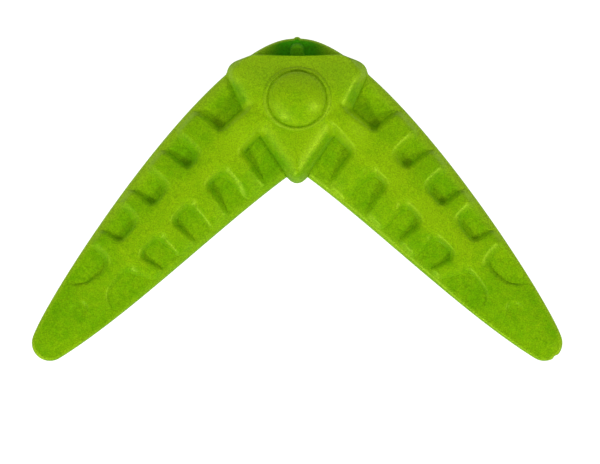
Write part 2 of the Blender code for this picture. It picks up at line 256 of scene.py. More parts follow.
# right spine's outline in the arm frame: (along, across, reach)
SPINE_CORNERS = (
    (14.0, 15.2, 0), (28.0, 16.6, 6.0),
    # outer half-ribs, from the hub to the tip
    (36.9, 17.0, 1.8), (37.2, 34.4, 9.5), (55.2, 33.6, 7.5), (55.2, 16.2, 4.0),
    (61.2, 15.7, 2.0), (62.8, 32.8, 8.0), (77.0, 32.2, 6.5), (77.2, 16.2, 4.0),
    (86.4, 15.8, 2.2), (88.0, 30.6, 6.5), (98.6, 29.8, 5.0), (99.2, 15.8, 3.5),
    (110.2, 14.8, 2.4), (112.6, 26.8, 5.0), (122.0, 25.8, 4.0), (122.9, 12.6, 3.0),
    # tip pad, drawn beyond the plate and cut back to it
    (127.5, 11.2, 2.0), (137.5, 12.4, 5.0), (146.5, 22.5, 0), (150.0, 26.0, 0),
    (190.0, 26.0, 0), (190.0, -14.0, 0), (140.2, -14.0, 0), (134.8, 1.4, 6.0),
    # inner half-ribs, from the tip to the hub
    (120.0, 2.6, 3.0), (112.8, -11.6, 3.5), (105.3, -11.4, 3.5), (108.8, 2.2, 4.0),
    (97.2, 1.8, 3.5), (96.8, -13.2, 4.0), (84.6, -13.4, 3.5), (85.4, 1.6, 3.0),
    (75.6, 1.9, 3.5), (76.2, -15.4, 4.0), (64.4, -16.0, 3.5), (61.3, -4.5, 3.5), (60.6, 1.4, 2.0),
    (53.0, 1.0, 3.5), (53.4, -18.4, 4.0), (40.8, -18.8, 4.0), (38.2, -5.7, 4.0), (37.1, 0.4, 2.0),
    (14.0, -1.4, 0),
)
SPINE_MARGIN = 0.8                 # least distance from the spine's foot to the plate's outline
SPINE_DRAWING_STEP = 0.4

# boss: a half circle at the back, widening to its foot under the shield's back
BOSS_FOOT_Y = 17.5
BOSS_FOOT_WIDENING = 0.9
BOSS_OUTLINE_STEP = 0.35


def plate_outline():
    apex = (0.0, APEX_Y - APEX_RADIUS)
    tip = np.array((HALF_SPAN - TIP_RADIUS, PLATE_LOW[1] + TIP_RISE))
    start = apex + APEX_RADIUS * heading(90.0 - APEX_SWEEP)
    end = tip + TIP_RADIUS * heading(TIP_SWEEP[0])
    leave = start + OUTER_HANDLES[0] * heading(-APEX_SWEEP)
    arrive = end - OUTER_HANDLES[1] * heading(TIP_SWEEP[0] - 90.0)
    back_start = tip + TIP_RADIUS * heading(TIP_SWEEP[1])
    back_end = np.array((0.0, INNER_CORNER_Y))
    back_leave = back_start + INNER_HANDLES[0] * heading(TIP_SWEEP[1] - 90.0)
    back_arrive = back_end + INNER_HANDLES[1] * heading(-INNER_CORNER_SLOPE)
    nose_start = np.array(NOSE_CORNER) + NOSE_REACH * unit(np.array(WAIST) - NOSE_CORNER)
    half = np.concatenate([
        arc(apex, APEX_RADIUS, 90.0, 90.0 - APEX_SWEEP),
        bezier(start, leave, arrive, end, 0.0, OUTER_CURVE_TO_EAR)[1:],
        corner_curve(EAR_START, EAR_CORNER, EAR_END, 0.0, EAR_CURVE_END),
        bezier(start, leave, arrive, end, OUTER_CURVE_FROM_EAR, 1.0),
        arc(tip, TIP_RADIUS, *TIP_SWEEP)[1:],
        bezier(back_start, back_leave, back_arrive, back_end, 0.0, INNER_CURVE_TO_NOSE)[1:],
        corner_curve(nose_start, NOSE_CORNER, nose_start * (-1, 1), NOSE_CURVE_START, 0.5),
    ])
    return trimmed(resampled(mirrored(half), OUTLINE_STEP))


def trimmed(outline):
    """The plate's outline with its nib and its nick."""
    nib = np.exp(-(outline[:, :1] / NIB_HALF_WIDTH) ** 4) * (outline[:, 1:] > 0.0)
    from_nick = np.linalg.norm(outline - NICK_PLACE, axis=1)[:, None]
    nick = np.clip(1.0 - from_nick / NICK_REACH, 0.0, 1.0) ** 0.5
    return outline + NIB_LENGTH * nib * (0.0, 1.0) + NICK_DEPTH * nick * unit(-NICK_PLACE)


def shield_outline():
    left = tuple((-x, y, reach) for x, y, reach in SHIELD_CORNERS[-2:0:-1])
    drawn = resampled(rounded(SHIELD_CORNERS + left), SHIELD_DRAWING_STEP)
    return resampled(inset(drawn, SHIELD_INSET), OUTLINE_STEP)


def spine_outline():
    drawn = from_arm(resampled(rounded(SPINE_CORNERS), SPINE_DRAWING_STEP))
    limit = inset(PLATE_OUTLINE, SPINE_MARGIN)
    outside = depth_inside(drawn, PLATE_OUTLINE) < SPINE_MARGIN
    for i in np.nonzero(outside)[0]:
        drawn[i] = limit[np.argmin(np.sum((limit - drawn[i]) ** 2, axis=1))]
    return resampled(drawn, OUTLINE_STEP)


def boss_outline():
    back = arc((0.0, BOSS_HIGH[1] - BOSS_RADIUS), BOSS_RADIUS, 180.0, 0.0)
    half_foot = BOSS_RADIUS + BOSS_FOOT_WIDENING
    foot = [(half_foot, BOSS_FOOT_Y), (-half_foot, BOSS_FOOT_Y)]
    return resampled(np.concatenate([back, foot]), BOSS_OUTLINE_STEP)


PLATE_OUTLINE = plate_outline()
SHIELD_OUTLINE = shield_outline()
SPINE_OUTLINE = spine_outline()
BOSS_OUTLINE = boss_outline()

# --- surface of the plate --------------------------------------------------------------
EDGE_WIDTH, EDGE_DROP = 4.0, 2.6   # rounding of the upper rim, in plan and in height ...
TIP_EDGE_WIDTH, TIP_EDGE_DROP = 1.6, 1.3    # ... and at the tips
TIP_EDGE_TURN = (100.0, 140.0)     # along the arm


def plate_surface(points, edge_depth):
    """Flat top with its rim rounded off, more crisply towards the tips."""
    tip = turn(to_arm(points)[:, 0], *TIP_EDGE_TURN)
    width = blend(EDGE_WIDTH, TIP_EDGE_WIDTH, tip)
    drop = blend(EDGE_DROP, TIP_EDGE_DROP, tip)
    reach = np.clip(1.0 - edge_depth / width, 0.0, 1.0)
    return PLATE_TOP - drop * (1.0 - np.sqrt(1.0 - reach ** 2))


# --- surface of the spines -------------------------------------------------------------
DIVE = 4.0                         # slope of a surface outside its own outline
SKIN_LIFT, SKIN_EDGE = 0.05, 0.3   # skin over the plate where the rise fades out, and its edge

# the ridge's height over the ground, at the button and at SPINE_LENGTH along the arm
SPINE_LENGTH = 180.0
SPINE_NEAR, SPINE_FAR = 14.6, 9.9
ROOT_RISE = 3.2                    # the ridge climbs to the shield
ROOT_TURN = (42.0, 22.0)           # along the arm
PAD_LOWERING = 0.5                 # share of the rise that is lost at the tip's pad
PAD_TURN = (105.0, 145.0)          # along the arm

# the ribs' arch across the arm
ARCH_TOP = 7.5                     # where it is highest
ARCH_RADIUS = (66.0, 125.0)        # on the inner and on the outer side
ARCH_LEAST = 0.22                  # share of the rise that the ribs' ends keep
RIB_FADE, PAD_FADE = 4.6, 8.0      # ribs and pad sink to the plate this far from its edge
FADE_TURN = (122.0, 140.0)         # along the arm

# sloping sides of ridge and ribs
FLANK_LEAST, FLANK_PER_RISE = 1.2, 0.5    # width of the slope: least, and per mm of rise
RIDGE_MIDDLE = 5.0
RIB_STEEPER = 0.35                 # the ribs' slopes are narrower than the ridge's by this share
RIB_TURN = (4.0, 7.0)              # from the ridge's middle, across the arm
LOOK_AHEAD = 0.5                   # a step along the arm that tells which way a slope faces
SOFT_WIDTH, SOFT_POWER = 1.75, 1.4    # slopes that face the tip are this much softer ...
SOFT_SHARE, INNER_SOFT_SHARE = 0.9, 0.3    # ... in this share, and on the inner far ribs
INNER_ALONG, INNER_ACROSS = (58.0, 70.0), (2.0, -2.0)
CROWN_WIDTH, CROWN_SHARE = 7.5, 0.26    # slight crown over the whole width

# tip dish; u runs from -1 at its hub end to 1 at its far end
DISH_ALONG = (143.9, 158.0)
DISH_ACROSS = 5.9
DISH_HALF_WIDTH = 5.0
DISH_DEPTH = 1.1
DISH_WALL = (0.35, 0.85)           # softness of its wall at the hub end and beyond
DISH_WALL_TURN = (-1.0, -0.1)      # in u
DISH_FADE_TURN = (-0.8, 0.9)       # in u


def tip_dish(along, across):
    """Shallow oval dish: a crisp wall at its hub end, fading out towards the tip."""
    start, end = DISH_ALONG
    u = (along - (start + end) / 2) / ((end - start) / 2)
    v = (across - DISH_ACROSS) / DISH_HALF_WIDTH
    inside = np.clip(1.0 - u * u - v * v, 0.0, 1.0)
    wall = blend(*DISH_WALL, turn(u, *DISH_WALL_TURN))
    return DISH_DEPTH * smooth_step(inside / wall) * (1.0 - turn(u, *DISH_FADE_TURN))


def ridge_rise(along):
    """Height of the ridge over the plate."""
    height = blend(SPINE_NEAR, SPINE_FAR, np.clip(along / SPINE_LENGTH, 0.0, 1.0))
    height = height + ROOT_RISE * turn(along, *ROOT_TURN)
    return (height - PLATE_TOP) * (1.0 - PAD_LOWERING * turn(along, *PAD_TURN))


def slope_profile(points, depth, along, across, width):
    """0 at the outline to 1 inside it: steep towards the hub, softer towards the tip."""
    ahead = depth_inside(folded(points) + LOOK_AHEAD * heading(ARM_ANGLE), SPINE_OUTLINE)
    tipward = smooth_step((depth - ahead) / LOOK_AHEAD)
    crisp = pillow(depth, width)
    soft = 1.0 - (1.0 - np.clip(depth / (SOFT_WIDTH * width), 0.0, 1.0)) ** SOFT_POWER
    inner_far = turn(along, *INNER_ALONG) * turn(across, *INNER_ACROSS)
    sides = blend(crisp, soft, blend(SOFT_SHARE, INNER_SOFT_SHARE, inner_far) * tipward)
    return blend(sides, pillow(depth, CROWN_WIDTH), CROWN_SHARE)


def spine_surface(points, edge_depth):
    """Ridge, ribs and tip pad of both arms; it dives below the plate outside them."""
    depth = depth_inside(folded(points), SPINE_OUTLINE)
    along, across = to_arm(points).T
    full = ridge_rise(along)
    radius = np.where(across < ARCH_TOP, *ARCH_RADIUS)
    arched = np.maximum(full - (across - ARCH_TOP) ** 2 / (2.0 * radius), ARCH_LEAST * full)
    rise = arched * smooth_step(edge_depth / blend(RIB_FADE, PAD_FADE, turn(along, *FADE_TURN)))
    steeper = 1.0 - RIB_STEEPER * turn(np.abs(across - RIDGE_MIDDLE), *RIB_TURN)
    width = FLANK_LEAST + FLANK_PER_RISE * full * steeper
    raised = rise * slope_profile(points, depth, along, across, width)
    skin = SKIN_LIFT * np.clip(depth / SKIN_EDGE, -1.0, 1.0) + DIVE * np.minimum(depth, 0.0)
    return plate_surface(points, edge_depth) + skin + raised - tip_dish(along, across)


# --- surface of the shield -------------------------------------------------------------
SHIELD_CROWN = 18.0
ROOF_BACK = (5.0, 0.25)            # the roof falls behind this y, at this slope ...
ROOF_SIDE = (17.0, 0.13)           # ... outside this x ...
ROOF_NOSE = (-15.0, 0.07)          # ... and in front of this y ...
NOSE_SIDE = (3.0, 0.10)            # ... where it also falls outside this x
ROOF_ROUNDNESS = (2.0, 1.2, 0.8)   # back to side, both to the nose, all to the level part

SHIELD_FOOT = 6.2
STEP_LEFT, STEP_RIGHT, STEP_WIDTH = 4.0, 2.2, 1.0    # steep step at the flanks' foot
STEP_TURN = (-8.0, 8.0)            # x, from the left step to the right
FLANK_RISE, FLANK_WIDTH = 10.2, 6.2    # step and gentle slope together, and the slope's width
CLIMB_START, CLIMB_SLOPE = 5.0, 0.5    # further in the flank climbs on
BEVEL_START, BEVEL_SLOPE = 13.3, 0.46
BEVEL_RAISED = 0.7                 # the bevel starts higher behind the waist ...
BEVEL_TURN = (-9.0, -1.0)          # y
BEVEL_RAISED_BACK = 3.0            # ... and higher still at the back
BACK_OVER_CROWN, BACK_WIDTH = 0.6, 1.7    # steep wall at the back: rise over the crown, width
BACK_TURN_Y, BACK_TURN_X = (8.0, 15.0), (30.0, 24.0)
SHIELD_ROUNDNESS = 1.2

JOIN_WIDTH = 2.4                   # roundness where spine and shield meet
SINK_SLOPE, SINK_REACH = 0.7, 2.0  # how the spine sinks under the shield

OVAL = 0.94                        # the button is a little shorter than it is wide
RING_CENTRE = np.array((0.0, -0.9))
COLLAR_RADIUS = 15.7               # a narrow raised bead runs round the button ...
COLLAR_HALF_WIDTH = 0.95
COLLAR_RISE, COLLAR_POWER = 0.65, 0.7
CREASE_DEPTH = 0.12                # ... and a crease inside it
CREASE_TURN = (14.8, 14.1)         # radius


def roof_surface(points):
    """The shield's roof: level round the button, falling to the back, the ears and the nose."""
    x, y = np.abs(points[:, 0]), points[:, 1]
    back = SHIELD_CROWN - ROOF_BACK[1] * (y - ROOF_BACK[0])
    side = SHIELD_CROWN - ROOF_SIDE[1] * (x - ROOF_SIDE[0])
    nose = SHIELD_CROWN - ROOF_NOSE[1] * (ROOF_NOSE[0] - y) - NOSE_SIDE[1] * (x - NOSE_SIDE[0])
    falling = smooth_min(smooth_min(back, side, ROOF_ROUNDNESS[0]), nose, ROOF_ROUNDNESS[1])
    return smooth_min(falling, np.full(len(points), SHIELD_CROWN), ROOF_ROUNDNESS[2])


def shield_surface(points, depth):
    """Gentle flanks over a small step, a bevel above them, then the roof; steep at the back."""
    x, y = np.abs(points[:, 0]), points[:, 1]
    back = turn(y, *BACK_TURN_Y) * turn(x, *BACK_TURN_X)
    step = blend(STEP_LEFT, STEP_RIGHT, turn(points[:, 0], *STEP_TURN))
    gentle = step * pillow(depth, STEP_WIDTH) + (FLANK_RISE - step) * pillow(depth, FLANK_WIDTH)
    steep = (SHIELD_CROWN + BACK_OVER_CROWN - SHIELD_FOOT) * pillow(depth, BACK_WIDTH)
    climb = CLIMB_SLOPE * np.clip(depth - CLIMB_START, 0.0, None)
    flank = SHIELD_FOOT + blend(gentle, steep, back) + climb + DIVE * np.minimum(depth, 0.0)
    start = BEVEL_START + BEVEL_RAISED * turn(y, *BEVEL_TURN) + BEVEL_RAISED_BACK * back
    sides = smooth_min(flank, start + BEVEL_SLOPE * depth, SHIELD_ROUNDNESS)
    return smooth_min(sides, roof_surface(points), SHIELD_ROUNDNESS)


def ring_radius(points):
    """Distance from the button's axis, on the scale of its long half."""
    place = points - RING_CENTRE
    return np.hypot(place[:, 0], place[:, 1] / OVAL)


def collar_at(radius):
    """1 on the crest of the bead round the button, 0 beside it."""
    return np.clip(1.0 - ((radius - COLLAR_RADIUS) / COLLAR_HALF_WIDTH) ** 2, 0.0, 1.0)


def hub_relief(points):
    """Shield with the spines' tops running into it, the bead and the crease."""
    shield = shield_surface(points, depth_inside(points, SHIELD_OUTLINE))
    spine = spine_surface(points, depth_inside(points, PLATE_OUTLINE))
    radius = ring_radius(points)
    ring = COLLAR_RISE * collar_at(radius) ** COLLAR_POWER
    return smooth_max(shield, spine, JOIN_WIDTH) + ring - CREASE_DEPTH * turn(radius, *CREASE_TURN)


def spine_relief(points):
    """Spine of either arm; under the shield it sinks out of sight."""
    shield_depth = depth_inside(points, SHIELD_OUTLINE)
    shield = shield_surface(points, shield_depth)
    spine = spine_surface(points, depth_inside(points, PLATE_OUTLINE))
    sink = SINK_SLOPE * np.clip(shield_depth, 0.0, SINK_REACH)
    return smooth_max(spine, shield, JOIN_WIDTH) - sink


# --- surfaces of button and boss -------------------------------------------------------
DOME_BALL = 22.5                   # radius of the button's top
DOME_SHOULDER = 12.6               # the button's rim is rounded off from here outwards
DOME_RIM_DROP = 0.45
BOSS_SHARE = 0.45                  # the boss's skin stays below the top of its box
BOSS_SHOULDER = 2.6


def dome_relief(points):
    radius = ring_radius(points)
    beyond = np.clip((radius - DOME_SHOULDER) / (DOME_RADIUS - DOME_SHOULDER), 0.0, 1.0)
    ball = np.sqrt(DOME_BALL ** 2 - radius ** 2) - DOME_BALL
    return DOME_HIGH[2] + ball - DOME_RIM_DROP * beyond ** 2


def boss_relief(points):
    shape = pillow(depth_inside(points, BOSS_OUTLINE), BOSS_SHOULDER)
    return PLATE_TOP + BOSS_SHARE * (BOSS_HIGH[2] - PLATE_TOP) * shape


# --- painted light, shade and sheen ----------------------------------------------------
# painted light and shade: a yellower, lighter tone on whatever stands high, as if lit, and a
# greener, darker one low down and on the shield's flanks, as if shaded
LIT_TONE_LEAST, LIT_TONE_HIGH = 0.32, 0.16    # everywhere, and added on whatever stands high
LIT_TONE_BACK, LIT_TONE_HUB = 0.5, 0.38       # added on the high backs of the spines and on the hub
HIGH_TURN = (1.0, 5.0)             # height over the plate
BACK_TURN_ACROSS = (12.5, 2.5)     # from the arch's top
BACK_TURN_ALONG = (140.0, 110.0)
HUB_TURN = (50.0, 34.0)            # distance from the middle of the hub
# painted shade: the shield's flanks, which face away from the light, get less of the lit tone
FLANK_PAINTED_SHADE = 0.75                 # share that the shield's flanks lose, off the spines
FLANK_FOOT_TURN, FLANK_TOP_TURN = (-0.2, 0.2), (6.5, 3.5)    # depth inside the shield
OFF_SPINE_TURN = (0.0, -1.5)       # depth inside the spine
FLANK_TURN_Y = (10.0, 5.0)

# painted shade: a deep, darker green in the recess behind the shield, where the shield keeps the
# light off
RECESS_SHADE_TURN_Y = (17.0, 20.0)
RECESS_SHADE_TURN_X, RECESS_SHADE_END_LOSS = (7.0, 18.0), 0.8
RECESS_SHADE_RIM_TURN = (0.2, 1.4)       # depth inside the plate
BOSS_TURN, BOSS_SHADE_LOSS = (0.2, 1.0), 0.25    # height over the plate, loss on the boss
RECESS_SHADE_TOP = 14.0                  # no higher than this

# painted sheen: a paler tone on the rims, the hub's back and the bead round the button on its side
# towards the lamps, standing in for reflections of the bright surroundings and highlights
RIM_REACH, TIP_RIM_REACH = 7.0, 2.5
RIM_REACH_TURN = (90.0, 140.0)     # along the arm
INNER_RIM_SHARE = 0.35
OUTER_RIM_TURN = (-4.0, 4.0)       # across the arm
HUB_BACK_SHARE = 0.45
HUB_BACK_TURN_Y, HUB_BACK_TURN_Z = (-2.0, 12.0), (13.0, 15.0)
COLLAR_SHARE = 0.7
COLLAR_TURN_Y = (5.0, -3.0)


def lit_tone_at(places):
    """Share of the yellower, lighter tone that paints light and shade: most on the high backs,
    least in the hollows, which keep the darker green.
    """
    plane, height = places[:, :2], places[:, 2] - PLATE_TOP
    along, across = to_arm(plane).T
    back = turn(np.abs(across - ARCH_TOP), *BACK_TURN_ACROSS) * turn(along, *BACK_TURN_ALONG)
    hub = turn(np.linalg.norm(plane, axis=1), *HUB_TURN)
    added = LIT_TONE_HIGH + np.maximum(LIT_TONE_BACK * back, LIT_TONE_HUB * hub)
    lit_tone = LIT_TONE_LEAST + added * turn(height, *HIGH_TURN)
    shield_depth = depth_inside(plane, SHIELD_OUTLINE)
    flank = turn(shield_depth, *FLANK_FOOT_TURN) * turn(shield_depth, *FLANK_TOP_TURN)
    off_spine = turn(depth_inside(folded(plane), SPINE_OUTLINE), *OFF_SPINE_TURN)
    return lit_tone * (1.0 - FLANK_PAINTED_SHADE * flank * off_spine * turn(plane[:, 1], *FLANK_TURN_Y))


def recess_shade_at(places):
    """Share of the painted shade: the recess behind the shield, kept darker and greener."""
    x, y, z = np.abs(places[:, 0]), places[:, 1], places[:, 2]
    middle = 1.0 - RECESS_SHADE_END_LOSS * turn(x, *RECESS_SHADE_TURN_X)
    rim = turn(depth_inside(places[:, :2], PLATE_OUTLINE), *RECESS_SHADE_RIM_TURN)
    off_boss = 1.0 - BOSS_SHADE_LOSS * turn(z - PLATE_TOP, *BOSS_TURN)
    return turn(y, *RECESS_SHADE_TURN_Y) * middle * rim * off_boss * (z < RECESS_SHADE_TOP)


def painted_sheen_at(places):
    """Share of the painted sheen: the rims, the hub's back and the bead round the button."""
    plane, y, z = places[:, :2], places[:, 1], places[:, 2]
    along, across = to_arm(plane).T
    reach = blend(RIM_REACH, TIP_RIM_REACH, turn(along, *RIM_REACH_TURN))
    rim = smooth_step(1.0 - depth_inside(plane, PLATE_OUTLINE) / reach)
    rim = rim * blend(INNER_RIM_SHARE, 1.0, turn(across, *OUTER_RIM_TURN))
    hub_back = turn(y, *HUB_BACK_TURN_Y) * turn(z, *HUB_BACK_TURN_Z)
    collar = collar_at(ring_radius(plane)) * turn(y, *COLLAR_TURN_Y)
    return np.maximum(np.maximum(rim, HUB_BACK_SHARE * hub_back), COLLAR_SHARE * collar)


# --- meshes ----------------------------------------------------------------------------
# painted light and shade, the recess's painted shade and the painted sheen, stored on each point
TONES = {"lit_tone": lit_tone_at, "recess_shade": recess_shade_at, "painted_sheen": painted_sheen_at}
ROW_SPACING = 0.8660254            # of an even triangular grid, in steps
RING_KEPT = 0.95                   # a ring's points closer to the outline than this are dropped
GRID_GAP, EXTRA_GAP = 0.6, 0.3     # from the rings and the extra points to the grid, in steps
MERGE_DISTANCE = 1e-5
SHARP_ANGLE = 40.0


def grid_points(low, high, step):
    xs = np.arange(low[0], high[0] + step, step)
    ys = np.arange(low[1], high[1] + step, step * ROW_SPACING)
    x, y = np.meshgrid(xs, ys)
    x = x + (np.arange(len(ys)) % 2)[:, None] * step / 2
    return np.stack([x.ravel(), y.ravel()], axis=-1)


def triangulated(outline, rings, step, extra=()):
    """Points and triangles that fill an outline: rings along it, then an even grid."""
    loops = [outline]
    for ring in rings:
        loop = inset(outline, ring)
        loops.append(loop[depth_inside(loop, outline) > RING_KEPT * ring])
    grid = grid_points(outline.min(axis=0), outline.max(axis=0), step)
    grid = grid[depth_inside(grid, outline) > rings[-1] + GRID_GAP * step]
    if len(extra):
        reach, radii, gap = ring_radius(grid), ring_radius(extra), EXTRA_GAP * step
        grid = grid[(reach < radii.min() - gap) | (reach > radii.max() + gap)]
        loops.append(extra)
    points = np.concatenate(loops + [grid])
    count = len(outline)
    edges = [(i, (i + 1) % count) for i in range(count)]
    made = delaunay_2d_cdt([Vector(p) for p in points], edges, [], 0, MERGE_DISTANCE, False)
    places, triangles = np.array([tuple(v) for v in made[0]]), np.array(made[2])
    middles = places[triangles].mean(axis=1)
    return places, triangles[depth_inside(middles, outline) > 0.0], count


def mesh_from(name, points, faces):
    mesh = bpy.data.meshes.new(name)
    mesh.from_pydata([tuple(p) for p in points * MM], [], faces)
    mesh.validate()
    mesh.update()
    for tone, share_at in TONES.items():
        layer = mesh.attributes.new(tone, "FLOAT", "POINT")
        layer.data.foreach_set("value", share_at(points).astype(np.float32))
    piece = bpy.data.objects.new(name, mesh)
    bpy.context.scene.collection.objects.link(piece)
    return piece


def finish_piece(piece, node, material):
    piece.data.materials.append(material)
    piece.data.shade_smooth()
    piece.data.set_sharp_from_angle(angle=math.radians(SHARP_ANGLE))
    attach(piece, "root")
    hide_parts(node)


def relief_piece(name, outline, rings, step, surface, floor, extra=()):
    """A closed solid: the lifted outline, a wall round it and a flat floor."""
    flat, triangles, count = triangulated(outline, rings, step, extra)
    top = np.column_stack([flat, surface(flat)])
    bottom = np.column_stack([flat[:count], np.full(count, floor)])
    base = len(top)
    faces = [tuple(face) for face in triangles]
    for i in range(count):
        j = (i + 1) % count
        faces.append((i, base + i, base + j, j))
    faces.append(tuple(base + i for i in reversed(range(count))))
    return mesh_from(name, np.concatenate([top, bottom]), faces)


# --- pieces ----------------------------------------------------------------------------
# plate: its edge goes down over a fine bead at the mould's parting line to a rounded foot
RIM_ANGLES = np.arange(9.0, 91.0, 9.0)
BEAD_ANGLES = np.arange(0.0, 181.0, 30.0)
FOOT_ANGLES = np.arange(0.0, 91.0, 15.0)
PARTING_Z = 3.8
BEAD = 0.16
BEAD_HALF_HEIGHT = 0.3
FOOT_RADIUS = 1.6

# rings inside each outline, as distances from it; the collar's are radii round the button
FLANK_RINGS = (0.12, 0.3, 0.55, 0.85, 1.2, 1.6, 2.05, 2.55, 3.1, 3.7)
SHIELD_RINGS = FLANK_RINGS + (4.5, 5.3, 6.1)
COLLAR_RINGS = (13.6, 14.0, 14.2, 14.4, 14.6, 14.8, 15.0, 15.2,
                15.45, 15.7, 15.95, 16.2, 16.4, 16.6, 16.8, 17.1)
DOME_RINGS = (0.15, 0.4, 0.7, 1.0, 1.4, 1.9)
BOSS_RINGS = (0.1, 0.3, 0.6, 1.0, 1.5, 2.1)
COLLAR_POINTS, DOME_POINTS = 240, 360
DOME_OUTLINE_STEP = 0.4

# grid steps, and floors of the reliefs that stand in the plate
PLATE_STEP, SPINE_STEP, SHIELD_STEP, DOME_STEP, BOSS_STEP = 1.1, 0.75, 0.75, 0.6, 0.4
SPINE_FLOOR = PLATE_TOP - 1.4
SHIELD_FLOOR = PLATE_TOP - EDGE_DROP
BOSS_FLOOR = PLATE_TOP - 1.0


def wing_plate(material):
    rings = EDGE_WIDTH * (1.0 - np.cos(np.radians(RIM_ANGLES)))
    flat, triangles, count = triangulated(PLATE_OUTLINE, tuple(rings), PLATE_STEP)
    top = np.column_stack([flat, plate_surface(flat, depth_inside(flat, PLATE_OUTLINE).clip(0.0))])
    bead = [(-BEAD * math.sin(a), PARTING_Z + BEAD_HALF_HEIGHT * math.cos(a))
            for a in np.radians(BEAD_ANGLES)]
    foot = [(FOOT_RADIUS * (1.0 - math.cos(a)), FOOT_RADIUS * (1.0 - math.sin(a)))
            for a in np.radians(FOOT_ANGLES)]
    loops = [np.column_stack([inset(PLATE_OUTLINE, drawn_in), np.full(count, z)])
             for drawn_in, z in bead + foot]
    faces = [tuple(face) for face in triangles]
    upper = np.arange(count)
    for k in range(len(loops)):
        lower = len(top) + k * count + np.arange(count)
        for i in range(count):
            j = (i + 1) % count
            faces.append((upper[i], lower[i], lower[j], upper[j]))
        upper = lower
    faces.append(tuple(reversed(upper)))
    piece = mesh_from("plate_skin", np.concatenate([top] + loops), faces)
    finish_piece(piece, "wing_plate", material)


def spine(side, name, node, material):
    outline = resampled(SPINE_OUTLINE * (side, 1.0), OUTLINE_STEP)
    piece = relief_piece(name, outline, FLANK_RINGS, SPINE_STEP, spine_relief, SPINE_FLOOR)
    finish_piece(piece, node, material)


def button_ring(radius, count):
    ring = arc((0.0, 0.0), radius, 0.0, 360.0 - 360.0 / count, count - 1)
    return RING_CENTRE + ring * (1.0, OVAL)


def hub_shield(material):
    collar = np.concatenate([button_ring(radius, COLLAR_POINTS) for radius in COLLAR_RINGS])
    piece = relief_piece("shield_skin", SHIELD_OUTLINE, SHIELD_RINGS, SHIELD_STEP, hub_relief,
                         SHIELD_FLOOR, collar)
    finish_piece(piece, "hub_shield", material)


def hub_dome(material):
    outline = resampled(button_ring(DOME_RADIUS, DOME_POINTS), DOME_OUTLINE_STEP)
    piece = relief_piece("dome_skin", outline, DOME_RINGS, DOME_STEP, dome_relief, DOME_LOW[2])
    finish_piece(piece, "hub_dome", material)


def apex_boss(material):
    piece = relief_piece("boss_skin", BOSS_OUTLINE, BOSS_RINGS, BOSS_STEP, boss_relief, BOSS_FLOOR)
    finish_piece(piece, "apex_boss", material)


# --- rubber ----------------------------------------------------------------------------
# painted shade and painted light: the shaded and the lit end of the lit tone's blend
SHADED_GREEN = (0.128, 0.347, 0.0008)
LIT_GREEN = (0.240, 0.440, 0.0022)
# painted shade of the recess behind the shield
RECESS_SHADE_GREEN = (0.026, 0.250, 0.0015)
# painted sheen: the pale tone of the rims, the hub's back and the bead
PAINTED_SHEEN_GREEN = (0.250, 0.432, 0.0090)

GRAIN = (1700.0, 2.0, 0.6)         # noises: scale, detail, roughness
MOTTLE = (420.0, 2.0, 0.5)
PATCHES = (55.0, 3.0, 0.55)
NOISE_RANGE = (0.3, 0.7)           # holds most of a noise's values
SPECKLE_RANGE = (0.32, 0.68)
# patches and mottle are the rubber's own random tone; they shift the painted lit tone
PATCH_SHARE, MOTTLE_SHARE = 0.35, 0.22    # how far they shift the yellower tone's share
SPECKLE = (0.70, 1.30)             # brightness from the grain's dark to its light spots
ROUGHNESS = (0.40, 0.26)           # over the same spots
FACING_RANGE = (0.45, 0.85)        # sheen is dulled where a face turns away from the camera
SHEEN = (0.40, 0.03)
SHEEN_TINT = (0.75, 1.0, 0.06, 1.0)
BUMP_STRENGTH, BUMP_DISTANCE = 0.5, 0.00013


